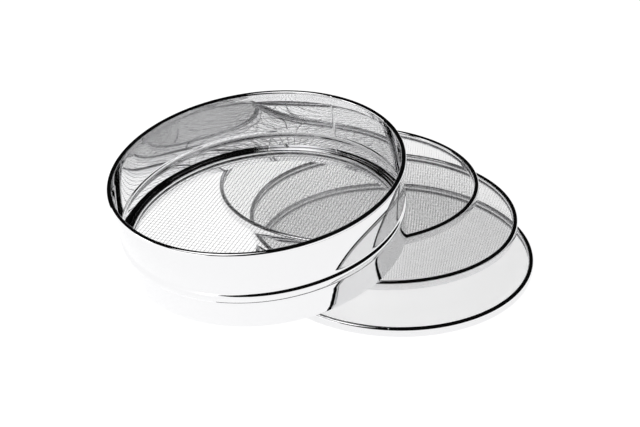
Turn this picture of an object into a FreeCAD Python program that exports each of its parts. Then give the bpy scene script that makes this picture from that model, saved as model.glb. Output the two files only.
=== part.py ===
"""Drum sieve with four interchangeable screens, as it lies when it is shown to a cook.

The drum leans on a fan of three spare screens and holds the fourth one.  The bottom spare
lies flat on the table, each other spare lies on the one below it, and the drum stands with
one side of its hem on the table and rests on the rim of the top spare.

Every round piece is drawn as a profile in its own frame, with its axis on Z and its base at
zero, and is then carried to its place.  The places are worked out from what rests on what.
"""
import FreeCAD, Part
import math
import os

# Drum: one strip of sheet with a curled rim, a swaged bead, and a hem turned in to a ledge
rim_diameter = 300.0
rim_roll_diameter = 5.2
rim_curl_turn = 300.0
rim_chord_count = 6
drum_height = 88.8
drum_sheet = 0.7
bead_height = 11.4
bead_depth = 1.6
bead_flank_angle = 45.0
bead_middle_height = 34.5
hem_thickness = 1.6
drum_ledge_height = 9.7

# Stop nib on the inside of the wall, just above the rim of the screen on the ledge
nib_angle = 82.0
nib_radius = 2.0
nib_gap = 0.3
nib_play = 0.5

# Screens: a strip folded round the edge of the wire cloth, with its upper edge rolled inwards
screen_side_clearance = 1.5
screen_height = 9.5
screen_roll_diameter = 4.4
screen_roll_side_count = 8
screen_wall = 2.4
screen_ledge_height = 2.0
screen_ledge_reach = 4.7
groove_depth = 1.4
cloth_edge_clearance = 0.2

# Cloth of each screen: thickness, gaps drawn across, and the way the wires run, in degrees
cloth_bar = 3.2
coarse_thickness = 1.1
coarse_gap_count = 14
coarse_angle = 65.5
medium_thickness = 0.8
medium_gap_count = 15
medium_angle = 84.0
fine_thickness = 0.6
fine_gap_count = 16
fine_angle = 89.0
extra_fine_thickness = 0.4
extra_fine_gap_count = 17
extra_fine_angle = 3.0
smallest_gap_share = 0.15

# How the pieces lie on each other: shifts along the table and the way they go, in degrees
rest_clearance = 0.3
middle_shift = 62.2
middle_shift_angle = 98.1
top_shift = 67.2
top_shift_angle = 121.9
drum_chord_distance = 67.8
drum_shift_angle = 231.8
steepest_lean_angle = 30.0
lean_step_count = 60

rim_roll_radius = rim_roll_diameter / 2
rim_curl_radius = rim_roll_radius - drum_sheet
rim_circle_radius = rim_diameter / 2 - rim_roll_radius
rim_roll_height = drum_height - rim_roll_radius
drum_outer_radius = rim_circle_radius - rim_curl_radius
drum_inner_radius = drum_outer_radius - drum_sheet
bead_radius = drum_outer_radius + bead_depth
hem_inner_radius = drum_outer_radius - hem_thickness
nib_height = screen_side_clearance - nib_play

screen_radius = drum_inner_radius - screen_side_clearance
screen_roll_radius = screen_roll_diameter / 2
screen_roll_height = screen_height - screen_roll_radius
screen_crown_radius = screen_radius - screen_roll_radius
screen_wall_radius = screen_radius - screen_wall
screen_ledge_radius = screen_radius - screen_ledge_reach
groove_radius = screen_wall_radius + groove_depth
cloth_radius = groove_radius - cloth_edge_clearance
drum_ledge_radius = screen_ledge_radius

Z = FreeCAD.Vector(0, 0, 1)


def bend(centre, radius, first, last, chord_count):
    """Points of a profile round a bend, from one angle to another, in degrees."""
    points = []
    for step in range(chord_count + 1):
        turn = math.radians(first + (last - first) * step / chord_count)
        points.append((centre[0] + radius * math.cos(turn), centre[1] + radius * math.sin(turn)))
    return points


def spun(points):
    """Solid of revolution about the axis, from the radius and height of each corner of its profile."""
    corners = [FreeCAD.Vector(radius, 0, height) for radius, height in points]
    profile = Part.Face(Part.makePolygon(corners + corners[:1]))
    return profile.revolve(FreeCAD.Vector(), Z, 360)


def toward(degrees, length):
    """A level vector of a given length, pointing the given way."""
    turn = math.radians(degrees)
    return FreeCAD.Vector(length * math.cos(turn), length * math.sin(turn), 0)


def drum_wall():
    """The strip of the drum: up its outer side, round the curl and down its inner side."""
    flank = bead_depth / math.tan(math.radians(bead_flank_angle))
    inset = drum_sheet * math.tan(math.radians(bead_flank_angle / 2))
    foot = bead_middle_height - bead_height / 2
    head = bead_middle_height + bead_height / 2
    curl_middle = (rim_circle_radius, rim_roll_height)
    curl_end = 180 - rim_curl_turn
    outer_side = [
        (drum_outer_radius, 0),
        (drum_outer_radius, foot),
        (bead_radius, foot + flank),
        (bead_radius, head - flank),
        (drum_outer_radius, head),
    ] + bend(curl_middle, rim_curl_radius, 180, curl_end, rim_chord_count)
    inner_side = bend(curl_middle, rim_roll_radius, curl_end, 180, rim_chord_count) + [
        (drum_inner_radius, head - inset),
        (bead_radius - drum_sheet, head - flank - inset),
        (bead_radius - drum_sheet, foot + flank + inset),
        (drum_inner_radius, foot + inset),
    ]
    return outer_side + inner_side


def drum_hem():
    """The lower end of the strip, folded double, with the ledge that a screen lies on."""
    return [
        (drum_inner_radius, drum_ledge_height),
        (drum_ledge_radius, drum_ledge_height),
        (drum_ledge_radius, drum_ledge_height - drum_sheet),
        (hem_inner_radius, drum_ledge_height - drum_sheet),
        (hem_inner_radius, 0),
    ]


def stop_nib():
    """A ball whose cap stands out of the wall by the nib's height; the rest of it is cut away."""
    height = drum_ledge_height + rest_clearance + screen_height + nib_gap + nib_radius
    middle = toward(nib_angle, drum_inner_radius - nib_height + nib_radius) + Z * height
    inside = Part.makeCylinder(drum_inner_radius + drum_sheet / 2, drum_height)
    return Part.makeSphere(nib_radius, middle).common(inside)


def drum_shell():
    return spun(drum_wall() + drum_hem()).fuse(stop_nib()).Solids[0]


def screen_band(cloth_thickness):
    """A screen's band: rolled edge, inner wall, the groove for the cloth, ledge and foot."""
    half_side = 180 / screen_roll_side_count
    corner_radius = screen_roll_radius / math.cos(math.radians(half_side))
    roll_middle = (screen_crown_radius, screen_roll_height)
    cloth_top = screen_ledge_height + cloth_thickness
    roll = bend(roll_middle, corner_radius, half_side, 180 + half_side, screen_roll_side_count // 2)
    return spun(roll + [
        (screen_wall_radius, screen_roll_height - screen_roll_radius),
        (screen_wall_radius, cloth_top),
        (groove_radius, cloth_top),
        (groove_radius, screen_ledge_height),
        (screen_ledge_radius, screen_ledge_height),
        (screen_ledge_radius, 0),
        (screen_radius, 0),
    ])


def cloth(thickness, gap_count, angle):
    """Wire cloth as a net: one holed face, with the gaps next to the ledge cut round."""
    pitch = 2 * screen_ledge_radius / gap_count
    gap = pitch - cloth_bar
    open_disc = Part.Face(Part.Wire(Part.makeCircle(screen_ledge_radius)))
    gaps = []
    for column in range(gap_count):
        for row in range(gap_count):
            left = (column - gap_count / 2) * pitch + cloth_bar / 2
            near = (row - gap_count / 2) * pitch + cloth_bar / 2
            square = Part.makePlane(gap, gap, FreeCAD.Vector(left, near, 0))
            opening = square.common(open_disc)
            if opening.Area > smallest_gap_share * gap ** 2:
                gaps.append(opening.Faces[0].OuterWire)
    edge = Part.Wire(Part.makeCircle(cloth_radius))
    net = Part.makeFace([edge] + gaps, "Part::FaceMakerBullseye")
    net.rotate(FreeCAD.Vector(), Z, angle)
    return net.extrude(Z * thickness).translated(Z * screen_ledge_height)


def tipped(pivot, way, degrees):
    """Turn about a level line through the pivot, so that what lies the given way goes down."""
    axis = Z.cross(toward(way, 1))
    return FreeCAD.Placement(pivot, FreeCAD.Rotation(axis, degrees))


def moved(offset):
    return FreeCAD.Placement(offset, FreeCAD.Rotation())


def spare_on(lower, shift, way):
    """Place of a spare on a lower one: its foot stands where the two rims cross, and its cloth
    lies on the far side of the lower rim, so it tips by the height of the cloth over the foot."""
    crossing = (shift ** 2 + screen_crown_radius ** 2 - screen_ledge_radius ** 2) / (2 * shift)
    tip = math.degrees(math.asin(screen_ledge_height / (screen_crown_radius - crossing)))
    pivot = toward(way, crossing) + Z * (screen_height + rest_clearance)
    return lower * tipped(pivot, way, tip) * moved(toward(way, shift - crossing))


def drum_on(lower, chord_distance, way):
    """Place of the drum on the top spare: its hem crosses the spare's rim at both ends of a
    chord, and it leans about that chord until the hem's far side comes down to the table."""
    half_chord_squared = screen_crown_radius ** 2 - chord_distance ** 2
    reach = math.sqrt(hem_inner_radius ** 2 - half_chord_squared)
    pivot = toward(way, chord_distance) + Z * (screen_height + rest_clearance)
    level, steep = 0.0, steepest_lean_angle
    for step in range(lean_step_count):
        lean = (level + steep) / 2
        place = lower * tipped(pivot, way, lean) * moved(toward(way, reach))
        axis = place.Rotation.multVec(Z)
        lowest = place.Base.z - drum_outer_radius * math.sqrt(1 - axis.z ** 2)
        if lowest > rest_clearance:
            level = lean
        else:
            steep = lean
    return place


def rim_span(place, radius, height, roll, side):
    """Least and greatest reach of a rolled rim along X (side 0) or Y (side 1)."""
    axis = place.Rotation.multVec(Z)
    middle = place.multVec(Z * height)
    reach = radius * math.sqrt(1 - axis[side] ** 2) + roll
    return middle[side] - reach, middle[side] + reach


def centred(spots):
    """Shift every place alike, so that the middle of the whole set is over the origin."""
    offset = []
    for side in (0, 1):
        spans = [rim_span(spots["drum"], rim_circle_radius, rim_roll_height, rim_roll_radius, side)]
        for name in ("bottom", "middle", "top"):
            spans.append(rim_span(spots[name], screen_crown_radius, screen_roll_height,
                                  screen_roll_radius, side))
        offset.append(-(min(span[0] for span in spans) + max(span[1] for span in spans)) / 2)
    shift = moved(FreeCAD.Vector(offset[0], offset[1], 0))
    return {name: shift * place for name, place in spots.items()}


def places():
    """Where the drum, its screen and the three spares lie."""
    bottom = FreeCAD.Placement()
    middle = spare_on(bottom, middle_shift, middle_shift_angle)
    top = spare_on(middle, top_shift, top_shift_angle)
    drum = drum_on(top, drum_chord_distance, drum_shift_angle)
    fitted = drum * moved(Z * (drum_ledge_height + rest_clearance))
    return centred({"bottom": bottom, "middle": middle, "top": top, "drum": drum, "fitted": fitted})


def screen(name, place, thickness, gap_count, angle):
    """The two pieces of one screen, at its place."""
    return {
        name + "_band": screen_band(thickness).transformed(place.Matrix),
        name + "_cloth": cloth(thickness, gap_count, angle).transformed(place.Matrix),
    }


def pieces():
    """Every piece of the set, by name."""
    spot = places()
    made = {"drum_shell": drum_shell().transformed(spot["drum"].Matrix)}
    made.update(screen("coarse", spot["fitted"], coarse_thickness, coarse_gap_count, coarse_angle))
    made.update(screen("medium", spot["top"], medium_thickness, medium_gap_count, medium_angle))
    made.update(screen("fine", spot["middle"], fine_thickness, fine_gap_count, fine_angle))
    made.update(screen("extra_fine", spot["bottom"], extra_fine_thickness, extra_fine_gap_count,
                       extra_fine_angle))
    return made


def main():
    os.makedirs("parts", exist_ok=True)
    for name, shape in pieces().items():
        shape.exportStep(os.path.join("parts", name + ".step"))


if __name__ == "__main__":
    main()
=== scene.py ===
"""Drum sieve and its fan of spare screens, dressed for the picture.

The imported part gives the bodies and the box. Every solid is replaced here by a finer surface of the
same size: the drum and the bands are lathe surfaces, and the cloths are woven from single wires.
"""

import math

import bpy
import numpy as np
from bpy.props import FloatProperty, FloatVectorProperty, IntProperty, PointerProperty
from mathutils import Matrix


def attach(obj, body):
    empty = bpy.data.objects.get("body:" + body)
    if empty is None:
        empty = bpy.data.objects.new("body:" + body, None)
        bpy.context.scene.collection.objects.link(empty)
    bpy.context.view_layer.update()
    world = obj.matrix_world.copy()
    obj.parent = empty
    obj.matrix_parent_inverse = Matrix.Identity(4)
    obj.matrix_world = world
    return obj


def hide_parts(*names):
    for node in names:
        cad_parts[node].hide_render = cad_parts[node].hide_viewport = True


bl_info = {
    "name": "Drum Sieve",
    "version": (1, 0, 0),
    "blender": (4, 5, 0),
    "location": "View3D > Sidebar > Drum Sieve",
    "description": "Builds a polished drum sieve with its fitted screen and three spare screens",
    "category": "Object",
}

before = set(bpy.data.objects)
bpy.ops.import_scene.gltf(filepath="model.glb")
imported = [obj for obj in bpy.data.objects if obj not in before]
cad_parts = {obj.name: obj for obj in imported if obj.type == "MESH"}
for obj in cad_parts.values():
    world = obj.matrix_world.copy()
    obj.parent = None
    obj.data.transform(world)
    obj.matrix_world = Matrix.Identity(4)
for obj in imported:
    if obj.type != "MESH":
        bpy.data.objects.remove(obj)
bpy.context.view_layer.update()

MM = 0.001

# Where each round piece lies: the middle of its foot in millimetres, and its axis.
PLACES = {
    "drum": ((-58.175, -48.729, 19.250), (-0.103171, -0.079487, 0.991483)),
    "coarse": ((-59.206, -49.524, 29.165), (-0.103171, -0.079487, 0.991483)),
    "medium": ((28.687, 61.644, 17.377), (-0.013030, 0.035561, 0.999283)),
    "fine": ((64.218, 4.434, 9.312), (-0.002700, 0.018970, 0.999816)),
    "extra_fine": ((72.981, -57.141, 0.0), (0.0, 0.0, 1.0)),
}
BODIES = {
    "drum": "drum",
    "coarse": "fitted_screen",
    "medium": "top_screen",
    "fine": "middle_screen",
    "extra_fine": "bottom_screen",
}

# For each screen: where its strip is welded and which way its warp runs, in degrees, its cloth's thickness
# in millimetres, and in how many steps per gap and with how many sides its wires are drawn. The finer the
# cloth, the fewer.
SCREENS = {
    "coarse": {"seam": 90.0, "thickness": 1.1, "direction": 65.5, "steps": 4, "sides": 6},
    "medium": {"seam": 200.0, "thickness": 0.8, "direction": 84.0, "steps": 2, "sides": 4},
    "fine": {"seam": 150.0, "thickness": 0.6, "direction": 89.0, "steps": 1, "sides": 4},
    "extra_fine": {"seam": 265.0, "thickness": 0.4, "direction": 3.0, "steps": 0, "sides": 4},
}

# Soft boxes and white cards: the middle, the width and the height in metres, which brightness of the stage
# they have, and their shape.
LAMPS = {
    "key_box": ((-0.68, -0.57, 1.14), 0.85, 0.85, "key", "RECTANGLE"),
    "front_left_card": ((-1.02, -0.56, 0.20), 1.10, 0.44, "card", "RECTANGLE"),
    "left_card": ((-1.15, 0.10, 0.20), 0.90, 0.44, "card", "RECTANGLE"),
    "low_front_card": ((-0.69, -0.955, 0.0), 1.00, 0.10, "card", "ELLIPSE"),
}

# The camera's frame in millimetres, and how far it sees in metres.
SENSOR_WIDTH = 36.0
VIEW_END = 20.0

# Most values of a noise lie between these two.
NOISE_LOW, NOISE_HIGH = 0.3, 0.7
# Sockets of a Mix node for colours. They go by number, because its other kinds share their names.
MIX_A, MIX_B, MIX_RESULT = 6, 7, 2
# Brushed lines are this many times as long as wide. The waves of the sheet and the strip, and the dull and
# bright stretches of a wire, have these lengths in millimetres.
LINE_STRETCH = 60
WAVE_LENGTH = 45.454545
STRETCH_LENGTH = 8.0
# How far the wires' roughness varies, and how dark the wire's dull stretches are, as shares.
GLOSS_SPREAD = 0.3
DULL_SHADE = 0.9

# How many points draw a bend, a rolled edge from outside, the inside of the drum's curl, and the curves of
# the drum's wall.
BEND_POINTS = 5
ROLL_POINTS = 26
CURL_POINTS = 12
SHOULDER_POINTS = 9
WALL_POINTS = 14
GROOVE_POINTS = 19
# A bend takes at most this share of the side next to it.
BEND_SHARE = 0.45
# How far from a weld, in millimetres round the wall, extra lines of points take its narrow groove.
SEAM_STEPS = (0.1, 0.2, 0.3, 0.42, 0.6, 0.9)

# Small forms of the drum's strip, in millimetres. The notch under the bead runs from below the bead's lower
# edge to above it. The lip, where the bead's side bends over, lies in from the crown and up from that edge.
NOTCH_DROP, NOTCH_RISE = 0.2, 0.3
LIP_INSET, LIP_RISE = 0.4, 2.3
# The plain wall starts this far above the bead and ends this far below the middle of the rim.
WALL_START, WALL_END = 3.0, 6.0
# Under the rim the inside runs in: how far it is outside the wall, and how far below the rim's middle.
NECK = ((0.38, 2.5), (0.12, 5.0), (0.0, 8.0))
# Half the swell's height, as a share of the wall's.
SWELL_HALF = 0.6
# The share of the bead's upper side at which its curve leaves the crown's bend.
SHOULDER_START = 0.3
# The angles, in degrees, at which the curl's sheet ends on its inside and its outside.
CURL_END_INSIDE, CURL_END_OUTSIDE = -118.0, -122.0
# How far the corners of the drum's strip are rounded, in millimetres, in the order of the profile.
FOOT_BEND = 0.7
SKIRT_BEND = 2.0
BEAD_BENDS = (0.1, 0.1, 0.8, 2.4)
NECK_BEND = 1.0
HEM_BENDS = (0.5, 0.3, 0.3, 0.4, 0.7)

# The nib: its rings and sides, the share of its height at which it ends, and in millimetres how far its
# back lies behind its foot, in the sheet, and how far its foot stands off the wall.
NIB_RINGS, NIB_SIDES = 10, 16
NIB_TIP = 0.97
NIB_BACK = 0.5
NIB_OFF_WALL = 0.1

# A band's rolled edge ends at this angle, in degrees; the wall starts this far above the roll's lowest
# point, and its corners are rounded this far, in millimetres.
EDGE_END = 236.0
EDGE_FOOT = 0.15
BAND_BENDS = (0.25, 0.25, 0.1, 0.1, 0.3, 0.3, 0.3)


def linear(code):
    """Linear red, green, blue and alpha of an sRGB hex value."""
    channels = np.array([int(code[i:i + 2], 16) for i in (1, 3, 5)]) / 255
    low = channels / 12.92
    high = ((channels + 0.055) / 1.055) ** 2.4
    return (*np.where(channels <= 0.04045, low, high).tolist(), 1.0)


def length(name, description, millimetres):
    """A length property; its default is given in millimetres and kept in metres."""
    return FloatProperty(name=name, description=description, default=millimetres * MM, unit="LENGTH",
                         precision=5)


def angle(name, description, degrees):
    """An angle property; its default is given in degrees."""
    return FloatProperty(name=name, description=description, default=math.radians(degrees), unit="ROTATION")


def number(name, description, value):
    """A plain number property."""
    return FloatProperty(name=name, description=description, default=value)


def colour(name, description, code):
    """A colour property; its default is an sRGB hex value."""
    return FloatVectorProperty(name=name, description=description, default=linear(code), size=4,
                               subtype="COLOR", min=0.0, max=1.0)


class DrumSizes(bpy.types.PropertyGroup):
    """Sizes of the drum."""

    rim: length("Rim radius", "Radius of the circle through the middle of the rolled rim", 147.4)
    roll: length("Roll radius", "Outer radius of the rolled rim's section", 2.6)
    height: length("Height", "From the foot to the top of the rolled rim", 88.8)
    sheet: length("Sheet", "Thickness of the drum's sheet", 0.7)
    bead_middle: length("Bead height", "Height of the middle of the swaged bead", 34.5)
    bead_width: length("Bead width", "Width of the swaged bead along the wall", 11.4)
    bead_depth: length("Bead depth", "How far the bead stands out of the wall", 1.6)
    shoulder: length("Shoulder", "How far the bead's rounded upper side runs out above its edge", 1.6)
    groove_depth: length("Groove depth", "Depth of the groove that the bead makes inside", 1.15)
    groove_width: length("Groove width", "Width of the groove that the bead makes inside", 11.0)
    groove_rise: length("Groove rise", "How far the groove's middle lies above the bead's", 1.5)
    crease: length("Crease", "Depth of the notch under the bead", 0.3)
    skirt_inset: length("Skirt inset", "How far the wall at and under the bead is drawn in", 0.6)
    waist: length("Waist", "How far the wall under the bead is hollow half way up", 0.25)
    swell: length("Swell", "How far the wall between bead and rim stands out half way up", 1.25)
    inner_inset: length("Inner inset", "How far the inside is drawn in under the rim", 0.5)
    ledge: length("Ledge height", "Height of the ledge that a screen lies on", 9.7)
    ledge_radius: length("Ledge radius", "Inner radius of the ledge", 138.6)
    hem: length("Hem", "Thickness of the folded hem", 1.6)
    seam: angle("Seam", "Where the strip's ends are welded together", 58.0)
    seam_depth: length("Seam depth", "How far the weld sinks into the wall", 0.14)
    seam_width: length("Seam width", "Half the width of the weld", 0.7)
    nib: angle("Nib", "Where the stop nib is", 82.0)
    nib_width: length("Nib width", "Width of the stop nib at its foot", 4.4)
    nib_height: length("Nib height", "Height of the stop nib", 4.0)
    nib_reach: length("Nib reach", "How far the stop nib stands out of the wall", 1.6)
    nib_foot: length("Nib foot", "Height of the stop nib's foot", 19.9)


class BandSizes(bpy.types.PropertyGroup):
    """Sizes that the bands of all the screens share."""

    radius: length("Radius", "Outer radius of a band", 143.3)
    height: length("Height", "From the foot to the top of the rolled edge", 9.5)
    roll: length("Roll radius", "Radius of the rolled edge's section", 2.7)
    wall: length("Wall", "Thickness of the folded wall", 2.4)
    ledge: length("Ledge height", "Height of the ledge under the cloth", 2.0)
    ledge_radius: length("Ledge radius", "Inner radius of the ledge", 138.6)
    groove: length("Groove", "Depth of the groove that holds the cloth's edge", 1.4)
    seam_depth: length("Seam depth", "How far the weld sinks into the strip", 0.15)
    seam_width: length("Seam width", "Half the width of the weld", 0.5)


class ClothSizes(bpy.types.PropertyGroup):
    """Pitch and wires of each cloth; the warp is stouter than the weft."""

    reach: length("Reach", "Radius at which the wires end, inside the band's groove", 141.6)
    coarse_pitch: length("Coarse pitch", "Wire spacing of the coarse cloth", 4.4)
    coarse_warp: length("Coarse warp", "Warp wire of the coarse cloth", 0.42)
    coarse_weft: length("Coarse weft", "Weft wire of the coarse cloth", 0.25)
    medium_pitch: length("Medium pitch", "Wire spacing of the medium cloth", 2.74)
    medium_warp: length("Medium warp", "Warp wire of the medium cloth", 0.28)
    medium_weft: length("Medium weft", "Weft wire of the medium cloth", 0.16)
    fine_pitch: length("Fine pitch", "Wire spacing of the fine cloth", 1.65)
    fine_warp: length("Fine warp", "Warp wire of the fine cloth", 0.24)
    fine_weft: length("Fine weft", "Weft wire of the fine cloth", 0.18)
    extra_fine_pitch: length("Extra fine pitch", "Wire spacing of the extra fine cloth", 0.6)
    extra_fine_warp: length("Extra fine warp", "Warp wire of the extra fine cloth", 0.075)
    extra_fine_weft: length("Extra fine weft", "Weft wire of the extra fine cloth", 0.045)


class Colours(bpy.types.PropertyGroup):
    """Colours of the steel and the stage, and the gloss of the wires."""

    polished: colour("Polished sheet", "Mirror-polished stainless sheet", "#F1F1F2")
    strip: colour("Rolled strip", "Bright rolled strip of the bands", "#EDEDEE")
    wire: colour("Drawn wire", "Drawn stainless wire", "#E8E8E9")
    floor: colour("Floor", "Glow of the white table", "#FBFBFB")
    floor_matt: colour("Floor's matt part", "What the white table throws back of the light", "#A0A0A0")
    room: colour("Room", "The dim room that the polished metal mirrors", "#0A0A0A")
    fill: colour("Fill", "Light that the room throws on matt things", "#606060")
    wire_roughness: number("Wire roughness", "Roughness of the woven wires", 0.08)
    powder_roughness: number("Extra fine roughness", "Roughness of the extra fine cloth's wires", 0.5)


class StageSizes(bpy.types.PropertyGroup):
    """The camera and the light, and how finely round pieces are drawn."""

    lens: number("Lens", "Focal length in millimetres on a 36 mm frame", 72.68)
    elevation: angle("Elevation", "How far the camera looks down", 30.14)
    distance: length("Distance", "From the camera to the point it looks at", 1416.2)
    target_x: length("Target X", "Where the camera looks, to the right", -3.2)
    target_y: length("Target Y", "Where the camera looks, away from it", 31.74)
    table_half: length("Table", "Half the side of the square table", 1000.0)
    table_drop: length("Table drop", "How far the table lies under the foot, so that no faces meet", 0.4)
    glow: number("Glow", "Brightness of the table as the metal sees it", 0.96)
    white: number("White", "Brightness of the table as the camera sees it", 1.02)
    key: number("Key light", "Brightness of the soft box", 1.6)
    card: number("White cards", "Brightness of the white cards", 1.15)
    lathe_steps: IntProperty(name="Lathe steps", description="Steps round a lathe surface", default=600,
                             min=24)


def add(tree, kind, links=(), **settings):
    """Add one node, set its properties and sockets, and link sockets of other nodes into it."""
    node = tree.nodes.new(kind)
    for name, value in settings.items():
        if hasattr(node, name):
            setattr(node, name, value)
        else:
            node.inputs[name.replace("_", " ")].default_value = value
    for socket, source in links:
        tree.links.new(source, node.inputs[socket])
    return node


def new_material(name):
    """An empty node material, its tree and its output node."""
    material = bpy.data.materials.new(name)
    material.use_nodes = True
    material.node_tree.nodes.clear()
    return material, material.node_tree, material.node_tree.nodes.new("ShaderNodeOutputMaterial")


def brushed_metal(name, tint, lines_apart, low, high, waves):
    """A metal with fine lines round the wall in its gloss, and slow waves in its surface.

    The lines follow the surface lengths (the UV) and take the roughness from low to high. Their distance
    and the height of the waves are in millimetres.
    """
    material, tree, output = new_material(name)
    place = add(tree, "ShaderNodeTexCoord")
    fine = 1 / (lines_apart * MM)
    along = add(tree, "ShaderNodeMapping", [("Vector", place.outputs["UV"])],
                Scale=(fine / LINE_STRETCH, fine, fine))
    lines = add(tree, "ShaderNodeTexNoise", [("Vector", along.outputs[0])], Scale=1.0, Detail=2.0)
    gloss = add(tree, "ShaderNodeMapRange", [("Value", lines.outputs["Fac"])], From_Min=NOISE_LOW,
                From_Max=NOISE_HIGH, To_Min=low, To_Max=high)
    slow = add(tree, "ShaderNodeTexNoise", [("Vector", place.outputs["Object"])],
               Scale=1 / (WAVE_LENGTH * MM), Detail=1.0)
    bump = add(tree, "ShaderNodeBump", [("Height", slow.outputs["Fac"])], Strength=1.0, Distance=waves * MM)
    shader = add(tree, "ShaderNodeBsdfPrincipled",
                 [("Roughness", gloss.outputs["Result"]), ("Normal", bump.outputs[0])],
                 Base_Color=tint, Metallic=1.0)
    tree.links.new(shader.outputs["BSDF"], output.inputs["Surface"])
    return material


def polished_sheet(tint):
    """Stainless sheet rolled to a drum and mirror polished on a wheel.

    To the eye it is a mirror that is a little wavy, as thin sheet is, with the wheel's lines round it as
    a faint haze. The lines are really some hundredths of a millimetre apart; here they are 1 mm apart.
    """
    return brushed_metal("stainless_sheet_mirror_polished", tint, lines_apart=1.0, low=0.012, high=0.05,
                         waves=0.07)


def rolled_strip(tint):
    """Stainless strip, bright rolled and curled at its edge.

    To the eye it is softer than the polished sheet: the rolling lines blur what it mirrors. They are
    drawn 0.8 mm apart, coarser than in the strip, so that a picture can hold them.
    """
    return brushed_metal("stainless_strip_bright_rolled", tint, lines_apart=0.8, low=0.03, high=0.1,
                         waves=0.05)


def drawn_wire(name, tint, roughness):
    """Stainless wire, drawn through a die and woven.

    To the eye each wire is a bright thread with dark edges; the die's lines soften its gloss, and some
    stretches are duller than others, drawn as patches about 8 mm long.
    """
    material, tree, output = new_material(name)
    place = add(tree, "ShaderNodeTexCoord")
    patches = add(tree, "ShaderNodeTexNoise", [("Vector", place.outputs["Object"])],
                  Scale=1 / (STRETCH_LENGTH * MM), Detail=3.0)
    gloss = add(tree, "ShaderNodeMapRange", [("Value", patches.outputs["Fac"])], From_Min=NOISE_LOW,
                From_Max=NOISE_HIGH, To_Min=roughness * (1 - GLOSS_SPREAD),
                To_Max=roughness * (1 + GLOSS_SPREAD))
    shade = add(tree, "ShaderNodeMix", [("Factor", patches.outputs["Fac"])], data_type="RGBA")
    shade.inputs[MIX_A].default_value = [value * DULL_SHADE for value in tint[:3]] + [1]
    shade.inputs[MIX_B].default_value = tint
    shader = add(tree, "ShaderNodeBsdfPrincipled",
                 [("Roughness", gloss.outputs["Result"]), ("Base Color", shade.outputs[MIX_RESULT])],
                 Metallic=1.0)
    tree.links.new(shader.outputs["BSDF"], output.inputs["Surface"])
    return material


def placed(points, name):
    """Points of a round piece in metres, from its own frame in millimetres to where it lies.

    The turn is the shortest one from straight up to the axis a: with w = z x a and the matrix W that
    takes the cross product with w, it is 1 + W + W W / (1 + z . a).
    """
    base, axis = (np.array(values) for values in PLACES[name])
    axis = axis / np.linalg.norm(axis)
    cross = np.array([[0, 0, axis[0]], [0, 0, axis[1]], [-axis[0], -axis[1], 0]])
    turn = np.eye(3) + cross + cross @ cross / (1 + axis[2])
    return (points @ turn.T + base) * MM


def new_object(name, data):
    """An object in the scene that holds the given mesh, lamp or camera."""
    holder = bpy.data.objects.new(name, data)
    bpy.context.scene.collection.objects.link(holder)
    return holder


def new_piece(name, points, quads, material, body, spread=None):
    """A smooth mesh piece of four-sided faces, riding on its body, with its surface lengths as UV."""
    mesh = bpy.data.meshes.new(name)
    mesh.vertices.add(len(points))
    mesh.vertices.foreach_set("co", points.astype(np.float32).ravel())
    mesh.loops.add(quads.size)
    mesh.loops.foreach_set("vertex_index", quads.astype(np.int32).ravel())
    mesh.polygons.add(len(quads))
    mesh.polygons.foreach_set("loop_start", np.arange(0, quads.size, 4, dtype=np.int32))
    mesh.polygons.foreach_set("use_smooth", np.ones(len(quads), dtype=bool))
    if spread is not None:
        mesh.uv_layers.new(name="surface").uv.foreach_set("vector", spread.astype(np.float32).ravel())
    mesh.update(calc_edges=True)
    if mesh.validate():
        raise RuntimeError(name + " has faces that are not sound")
    mesh.materials.append(material)
    piece = new_object(name, mesh)
    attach(piece, body)
    return piece


def arc(middle, radius, first, last, count):
    """Points on a circle of a profile, from one angle to another, in degrees."""
    turn = np.radians(np.linspace(first, last, count))
    return np.stack([middle[0] + radius * np.cos(turn), middle[1] + radius * np.sin(turn)], axis=1)


def bent(points, bends=0.0):
    """Corners of a profile (r, z), each with the length over which it is rounded."""
    return np.column_stack([points, np.broadcast_to(bends, len(points))])


def rounded(profile):
    """A closed profile of corners (r, z, bend), with its corners rounded.

    Each corner C with a bend gets the quadratic curve (1 - t)^2 A + 2 t (1 - t) C + t^2 B, where A and B
    lie on its two sides, the bend or at most a share of the side away; one without keeps its point.
    """
    corners, bends = profile[:, :2], profile[:, 2:]
    before = np.roll(corners, 1, axis=0) - corners
    after = np.roll(corners, -1, axis=0) - corners
    reach_before = np.linalg.norm(before, axis=1, keepdims=True)
    reach_after = np.linalg.norm(after, axis=1, keepdims=True)
    start = corners + before * np.minimum(bends / reach_before, BEND_SHARE)
    end = corners + after * np.minimum(bends / reach_after, BEND_SHARE)
    t = np.linspace(0, 1, BEND_POINTS)[None, :, None]
    curve = (1 - t) ** 2 * start[:, None] + 2 * t * (1 - t) * corners[:, None] + t ** 2 * end[:, None]
    keep = np.broadcast_to(bends > 0, (len(corners), BEND_POINTS)).copy()
    keep[:, 0] = True
    return curve[keep]


def turns_with_seam(count, seam, radius):
    """Angles round a lathe surface, with close ones added at the seam to take its narrow groove."""
    even = np.linspace(0, 2 * np.pi, count, endpoint=False)
    steps = np.array(SEAM_STEPS)
    close = np.concatenate([-steps, [0], steps]) / radius + seam
    return np.unique(np.concatenate([even, np.mod(close, 2 * np.pi)]))


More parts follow.
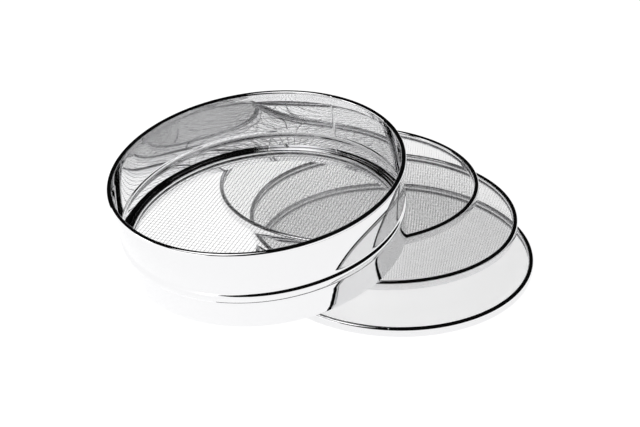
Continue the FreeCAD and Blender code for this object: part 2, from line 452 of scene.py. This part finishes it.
def lathe(profile, turns, seam, seam_depth, seam_width):
    """A closed profile (r, z) carried round the axis: x = r cos a, y = r sin a.

    At the seam the surface sinks along the profile's normal by depth times exp(-(s / width)^2), where s
    is the way round the wall from the seam. The UV is the way round and the way along the profile.
    """
    along = np.roll(profile, -1, axis=0) - np.roll(profile, 1, axis=0)
    normal = np.stack([along[:, 1], -along[:, 0]], axis=1)
    normal /= np.linalg.norm(normal, axis=1, keepdims=True)
    gap = (turns - seam + np.pi) % (2 * np.pi) - np.pi
    sink = seam_depth * np.exp(-(gap * profile[:, 0].max() / seam_width) ** 2)
    ring = profile[None] - sink[:, None, None] * normal[None]
    radius, height = ring[..., 0], ring[..., 1]
    points = np.stack([radius * np.cos(turns)[:, None], radius * np.sin(turns)[:, None], height], axis=2)
    here = np.arange(radius.size).reshape(radius.shape)
    up = np.roll(here, -1, axis=1)
    on = np.roll(here, -1, axis=0)
    on_up = np.roll(up, -1, axis=0)
    quads = np.stack([here, on, on_up, up], axis=2).reshape(-1, 4)
    round_way = np.append(turns, turns[0] + 2 * np.pi) * profile[:, 0].max() * MM
    side = np.linalg.norm(np.roll(profile, -1, axis=0) - profile, axis=1)
    up_way = np.append(0, np.cumsum(side)) * MM
    corner = np.stack(np.meshgrid(round_way, up_way, indexing="ij"), axis=2)
    spread = np.stack([corner[:-1, :-1], corner[1:, :-1], corner[1:, 1:], corner[:-1, 1:]], axis=2)
    return points.reshape(-1, 3), quads, spread


def cap(sides):
    """Four-sided faces that close a ring with an even number of sides, spread from its first point."""
    k = np.arange(1, sides - 1, 2)
    return np.stack([0 * k, k, k + 1, k + 2], axis=1)


def horn(width, height, reach):
    """A closed half horn against a wall, pressed out at its foot and running out at its tip.

    At the share t of its height its section is the half ellipse x = width / 2 (1 - t) cos a,
    y = reach (1 - t)^1.5 sin a, with a from 0 to 180 degrees, closed by a back inside the wall.
    """
    t = np.linspace(0, NIB_TIP, NIB_RINGS)[:, None]
    a = np.linspace(0, np.pi, NIB_SIDES - 2)[None]
    front = np.stack([width / 2 * (1 - t) * np.cos(a), reach * (1 - t) ** 1.5 * np.sin(a),
                      height * t + 0 * a], axis=2)
    ends = front[:, [-1, 0]]
    back = np.stack([ends[..., 0], np.full((NIB_RINGS, 2), -NIB_BACK), ends[..., 2]], axis=2)
    points = np.concatenate([front, back], axis=1)
    here = np.arange(NIB_RINGS * NIB_SIDES).reshape(NIB_RINGS, NIB_SIDES)
    on = np.roll(here, -1, axis=1)
    walls = np.stack([here[:-1], on[:-1], on[1:], here[1:]], axis=2).reshape(-1, 4)
    fan = cap(NIB_SIDES)
    return points.reshape(-1, 3), np.concatenate([walls, here[0][fan[:, ::-1]], here[-1][fan]])


def drum_profile(size):
    """The drum's strip in millimetres: up the outside, round the curl, down the inside, and the hem.

    At the share s of its height the wall under the bead is r = skirt - 4 waist s (1 - s). The bead's upper
    side is r = root + depth (1 + cos(pi u)) / 2. Above it the outside swells out to the rim:
    r = skirt + swell (1 - ((z - middle) / half)^2). Inside, the wall is straight, and the bead is a groove:
    r = wall + depth (1 + cos(pi t)) / 2.
    """
    sheet, roll, rim = size.sheet / MM, size.roll / MM, size.rim / MM
    top = size.height / MM - roll
    outer = rim - roll + sheet
    crown = outer + size.bead_depth / MM
    skirt = outer - size.skirt_inset / MM
    middle, half_bead = size.bead_middle / MM, size.bead_width / MM / 2
    low, high = middle - half_bead, middle + half_bead
    ledge, ledge_radius = size.ledge / MM, size.ledge_radius / MM

    share = np.array([0.25, 0.5, 0.75])
    foot = np.stack([skirt - size.waist / MM * 4 * share * (1 - share), low * share], axis=1)
    # The crease under the bead is a small notch, whose lower side looks up and so shows as a dark line.
    bead = np.array([(skirt, low - NOTCH_DROP), (skirt - size.crease / MM, low + NOTCH_RISE),
                     (crown - LIP_INSET, low + LIP_RISE), (crown, middle)])
    half = (top - high) * SWELL_HALF
    run = size.shoulder / MM
    up = np.linspace(SHOULDER_START, 1, SHOULDER_POINTS)
    root = skirt + size.swell / MM * (1 - ((run - half) / half) ** 2) * up
    shoulder = np.stack([root + (crown - skirt) / 2 * (1 + np.cos(np.pi * up)),
                         middle + (half_bead + run) * up], axis=1)
    heights = np.linspace(high + WALL_START, top - WALL_END, WALL_POINTS)
    outside = np.stack([skirt + size.swell / MM * (1 - ((heights - high - half) / half) ** 2), heights],
                       axis=1)
    wall = outer - sheet - size.inner_inset / MM
    neck = np.array([(wall + out, top - below) for out, below in NECK])
    down = np.linspace(1, -1, GROOVE_POINTS)
    groove = np.stack([wall + size.groove_depth / MM / 2 * (1 + np.cos(np.pi * down)),
                       middle + size.groove_rise / MM + size.groove_width / MM / 2 * down], axis=1)
    hem = skirt - size.hem / MM
    under = np.array([(wall, ledge), (ledge_radius, ledge), (ledge_radius, ledge - sheet),
                      (hem, ledge - sheet), (hem, 0)])

    return rounded(np.concatenate([
        bent([(skirt, 0)], FOOT_BEND),
        bent(foot, SKIRT_BEND),
        bent(bead, BEAD_BENDS),
        bent(shoulder),
        bent(outside),
        bent(arc((rim, top), roll - sheet, 180, CURL_END_INSIDE, CURL_POINTS)),
        bent(arc((rim, top), roll, CURL_END_OUTSIDE, 180, ROLL_POINTS)),
        bent(neck, NECK_BEND),
        bent(groove),
        bent(under, HEM_BENDS),
    ]))


def band_profile(size, cloth_thickness):
    """A screen's band in millimetres: the rolled edge, the wall, the cloth's groove, the ledge, the foot.

    The rolled edge is most of a circle, and the rest of the strip is folded, with small bends.
    """
    radius = size.radius / MM
    roll = size.roll / MM
    top = size.height / MM - roll
    wall = radius - size.wall / MM
    ledge, ledge_radius = size.ledge / MM, size.ledge_radius / MM
    groove = wall + size.groove / MM
    cloth_top = ledge + cloth_thickness
    fold = [(wall, top - roll + EDGE_FOOT), (wall, cloth_top), (groove, cloth_top), (groove, ledge),
            (ledge_radius, ledge), (ledge_radius, 0), (radius, 0)]
    return rounded(np.concatenate([
        bent(arc((radius - roll, top), roll, 0, EDGE_END, ROLL_POINTS)),
        bent(fold, BAND_BENDS),
    ]))


def tube_quads(keep, sides):
    """Faces of tubes whose kept stations follow one another along each row, with closed ends."""
    station = (np.cumsum(keep).reshape(keep.shape) - 1) * sides
    pair = keep[:, :-1] & keep[:, 1:]
    first = station[:, :-1][pair][:, None]
    second = station[:, 1:][pair][:, None]
    side = np.arange(sides)[None]
    other = (side + 1) % sides
    walls = np.stack([first + side, first + other, second + other, second + side], axis=2).reshape(-1, 4)
    row = np.arange(len(keep))
    start = station[row, keep.argmax(axis=1)]
    end = station[row, keep.shape[1] - 1 - keep[:, ::-1].argmax(axis=1)]
    fan = cap(sides)
    caps = np.concatenate([(start[:, None, None] + fan[None, :, ::-1]).reshape(-1, 4),
                           (end[:, None, None] + fan[None]).reshape(-1, 4)])
    return np.concatenate([walls, caps])


def weave(pitch, wire, lift, reach, steps, sides, sign, squeeze):
    """One set of wires of a plain weave, in millimetres, as tubes about the cloth's middle plane.

    Wire i lies at (i + 1/2) pitches and runs along s; its middle is at the height
    sign * lift * cos(pi * (s / pitch - 1/2 + i)), so it goes over and under the other set in turn.
    With no steps it lies straight, above or below the other set. It is cut off where it meets the circle
    of the given reach. The tube of few sides has the section of the round wire, and squeeze presses it
    flat.
    """
    count = int(reach / pitch)
    index = np.arange(-count, count)
    across = (index + 0.5) * pitch
    half = np.sqrt(np.maximum(reach ** 2 - across ** 2, 0))[:, None]
    if steps:
        step = pitch / steps
        most = int(reach / step) + 2
        even = (pitch / 2 + np.arange(-most, most + 1) * step)[None]
        keep = np.abs(even) < half + step
        along = np.clip(even, -half, half)
        height = sign * lift * np.cos(np.pi * (along / pitch - 0.5 + index[:, None]))
    else:
        along = half * np.array([[-1.0, 1.0]])
        keep = np.ones(along.shape, bool)
        height = sign * lift + 0 * along
    turn = (np.arange(sides) + 0.5) * 2 * np.pi / sides
    radius = wire / 2 * math.sqrt(2 * math.pi / (sides * math.sin(2 * math.pi / sides)))
    shape = along.shape + (sides,)
    points = np.stack([
        np.broadcast_to(along[..., None], shape),
        across[:, None, None] + radius * np.cos(turn) + np.zeros(shape),
        (height[..., None] + radius * np.sin(turn)) * squeeze,
    ], axis=3)[keep].reshape(-1, 3)
    return points, tube_quads(keep, sides)


def cloth_pieces(name, pitch, warp, weft, reach, ledge, material):
    """The two sets of wires of one cloth, woven, turned and laid on the band's ledge."""
    screen = SCREENS[name]
    turn = math.radians(screen["direction"])
    along = np.array([math.cos(turn), math.sin(turn), 0])
    across = np.array([-math.sin(turn), math.cos(turn), 0])
    up = np.array([0, 0, 1.0])
    middle = up * (ledge + screen["thickness"] / 2)
    lift = (warp + weft) / 4
    squeeze = min(1, screen["thickness"] / (2 * lift + warp))
    pieces = []
    sets = (("warp", warp, 1, (along, across, up)), ("weft", weft, -1, (across, along, up)))
    for label, wire, sign, axes in sets:
        points, quads = weave(pitch, wire, lift, reach, screen["steps"], screen["sides"], sign, squeeze)
        # The weft's axes are the mirror image of the warp's, so its faces turn the other way.
        quads = quads if sign > 0 else quads[:, ::-1]
        points = placed(points @ np.array(axes) + middle, name)
        pieces.append(new_piece(name + "_" + label, points, quads, material, BODIES[name]))
    return pieces


class SIEVE_OT_drum(bpy.types.Operator):
    """Turn the drum from its profile, with the weld of its strip, and press out the stop nib."""

    bl_idname = "sieve.drum"
    bl_label = "Drum"

    def execute(self, context):
        scene = context.scene
        size = scene.sieve_drum
        turns = turns_with_seam(scene.sieve_stage.lathe_steps, size.seam, size.rim / MM)
        points, quads, spread = lathe(drum_profile(size), turns, size.seam, size.seam_depth / MM,
                                      size.seam_width / MM)
        steel = polished_sheet(scene.sieve_colours.polished)
        drum = new_piece("drum_wall", placed(points, "drum"), quads, steel, "drum", spread)
        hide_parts("drum_shell")

        wall = (size.rim - size.roll - size.inner_inset) / MM
        points, quads = horn(size.nib_width / MM, size.nib_height / MM, size.nib_reach / MM)
        inward = np.array([(0, 1, 0), (-1, 0, 0), (0, 0, 1)])
        round_axis = np.array([(math.cos(size.nib), math.sin(size.nib), 0),
                               (-math.sin(size.nib), math.cos(size.nib), 0), (0, 0, 1)])
        points = (points @ inward + (wall - NIB_OFF_WALL, 0, size.nib_foot / MM)) @ round_axis
        new_piece("stop_nib", placed(points, "drum"), quads, steel, "drum")
        return {"FINISHED"}


class SIEVE_OT_bands(bpy.types.Operator):
    """Turn the band of each screen."""

    bl_idname = "sieve.bands"
    bl_label = "Bands of the screens"

    def execute(self, context):
        scene = context.scene
        size = scene.sieve_band
        steel = rolled_strip(scene.sieve_colours.strip)
        for name, screen in SCREENS.items():
            seam = math.radians(screen["seam"])
            turns = turns_with_seam(scene.sieve_stage.lathe_steps, seam, size.radius / MM)
            points, quads, spread = lathe(band_profile(size, screen["thickness"]), turns, seam,
                                          size.seam_depth / MM, size.seam_width / MM)
            band = new_piece(name + "_screen_band", placed(points, name), quads, steel, BODIES[name],
                             spread)
            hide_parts(name + "_band")
        return {"FINISHED"}


class SIEVE_OT_cloths(bpy.types.Operator):
    """Weave the cloth of each screen."""

    bl_idname = "sieve.cloths"
    bl_label = "Wire cloths"

    def execute(self, context):
        scene = context.scene
        size = scene.sieve_cloth
        colours = scene.sieve_colours
        ledge = scene.sieve_band.ledge / MM
        for name in SCREENS:
            # The real extra fine cloth is finer still, like cloth for powder; it is drawn as coarse as an
            # even grey allows, with a duller wire that stands for many.
            roughness = colours.powder_roughness if name == "extra_fine" else colours.wire_roughness
            material = drawn_wire("stainless_wire_drawn_" + name, colours.wire, roughness)
            pitch, warp, weft = (getattr(size, name + part) / MM for part in ("_pitch", "_warp", "_weft"))
            for piece in cloth_pieces(name, pitch, warp, weft, size.reach / MM, ledge, material):
                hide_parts(name + "_cloth")
        return {"FINISHED"}


class SIEVE_OT_stage(bpy.types.Operator):
    """Set the white table, the studio light and the camera."""

    bl_idname = "sieve.stage"
    bl_label = "Stage"

    def execute(self, context):
        scene = context.scene
        scene.view_settings.view_transform = "Standard"
        self.table(scene.sieve_stage, scene.sieve_colours)
        self.room(scene, scene.sieve_colours)
        self.lamps(scene.sieve_stage)
        self.camera(scene, scene.sieve_stage)
        return {"FINISHED"}

    def table(self, stage, colours):
        """A white table that glows, so that it stays white and yet keeps the soft shadow of the pieces."""
        half, drop = stage.table_half, -stage.table_drop
        corners = [(-half, -half, drop), (half, -half, drop), (half, half, drop), (-half, half, drop)]
        mesh = bpy.data.meshes.new("table")
        mesh.from_pydata(corners, [], [(0, 1, 2, 3)])
        material, tree, output = new_material("white_acrylic_sheet_lit_from_below")
        path = add(tree, "ShaderNodeLightPath")
        seen = add(tree, "ShaderNodeMapRange", [("Value", path.outputs["Is Camera Ray"])],
                   To_Min=stage.glow, To_Max=stage.white)
        matt = add(tree, "ShaderNodeBsdfDiffuse", Color=colours.floor_matt)
        glow = add(tree, "ShaderNodeEmission", [("Strength", seen.outputs["Result"])], Color=colours.floor)
        both = add(tree, "ShaderNodeAddShader", [(0, matt.outputs[0]), (1, glow.outputs[0])])
        tree.links.new(both.outputs[0], output.inputs["Surface"])
        mesh.materials.append(material)
        new_object("table", mesh)

    def room(self, scene, colours):
        """White to the camera, but a dim room to the metal: it gives the rolled rims their black lines."""
        world = bpy.data.worlds.new("studio")
        scene.world = world
        world.use_nodes = True
        tree = world.node_tree
        tree.nodes.clear()
        path = add(tree, "ShaderNodeLightPath")
        dim = add(tree, "ShaderNodeMix", [("Factor", path.outputs["Is Glossy Ray"])], data_type="RGBA")
        dim.inputs[MIX_A].default_value = colours.fill
        dim.inputs[MIX_B].default_value = colours.room
        white = add(tree, "ShaderNodeMix",
                    [("Factor", path.outputs["Is Camera Ray"]), (MIX_A, dim.outputs[MIX_RESULT])],
                    data_type="RGBA")
        white.inputs[MIX_B].default_value = (1, 1, 1, 1)
        sky = add(tree, "ShaderNodeBackground", [("Color", white.outputs[MIX_RESULT])], Strength=1.0)
        output = tree.nodes.new("ShaderNodeOutputWorld")
        tree.links.new(sky.outputs[0], output.inputs["Surface"])

    def lamps(self, stage):
        """Soft boxes and cards that look at the middle of the table."""
        for name, (spot, wide, high, which, shape) in LAMPS.items():
            lamp = bpy.data.lights.new(name, "AREA")
            lamp.shape = shape
            lamp.size = wide
            lamp.size_y = high
            # A lamp's power is pi times its area times the brightness that the metal sees.
            area = wide * high * (math.pi / 4 if shape == "ELLIPSE" else 1)
            lamp.energy = math.pi * area * getattr(stage, which)
            holder = new_object(name, lamp)
            holder.location = spot
            holder.rotation_euler = (math.acos(spot[2] / np.linalg.norm(spot)), 0,
                                     math.atan2(spot[1], spot[0]) + math.pi / 2)

    def camera(self, scene, stage):
        """The photograph's view: from the front, looking down."""
        camera = bpy.data.cameras.new("camera")
        camera.lens = stage.lens
        camera.sensor_width = SENSOR_WIDTH
        camera.sensor_fit = "HORIZONTAL"
        camera.clip_end = VIEW_END
        holder = new_object("camera", camera)
        holder.location = (stage.target_x, stage.target_y - stage.distance * math.cos(stage.elevation),
                           stage.distance * math.sin(stage.elevation))
        holder.rotation_euler = (math.pi / 2 - stage.elevation, 0, 0)
        scene.camera = holder


class SIEVE_PT_panel(bpy.types.Panel):
    """The steps that build the drum sieve."""

    bl_label = "Drum Sieve"
    bl_idname = "SIEVE_PT_panel"
    bl_space_type = "VIEW_3D"
    bl_region_type = "UI"
    bl_category = "Drum Sieve"

    def draw(self, context):
        for step in STEPS:
            self.layout.operator(step.bl_idname)


GROUPS = {
    "sieve_drum": DrumSizes,
    "sieve_band": BandSizes,
    "sieve_cloth": ClothSizes,
    "sieve_colours": Colours,
    "sieve_stage": StageSizes,
}
STEPS = (SIEVE_OT_drum, SIEVE_OT_bands, SIEVE_OT_cloths, SIEVE_OT_stage)
CLASSES = (*GROUPS.values(), *STEPS, SIEVE_PT_panel)


def register():
    """Make the classes known to Blender, and give each scene the groups of sizes."""
    for item in CLASSES:
        bpy.utils.register_class(item)
    for name, group in GROUPS.items():
        setattr(bpy.types.Scene, name, PointerProperty(type=group))


def unregister():
    """Take away what register gives."""
    for name in GROUPS:
        delattr(bpy.types.Scene, name)
    for item in reversed(CLASSES):
        bpy.utils.unregister_class(item)


def main():
    """Build the sieve and its stage."""
    register()
    bpy.ops.sieve.drum()
    bpy.ops.sieve.bands()
    bpy.ops.sieve.cloths()
    bpy.ops.sieve.stage()


if __name__ == "__main__":
    main()
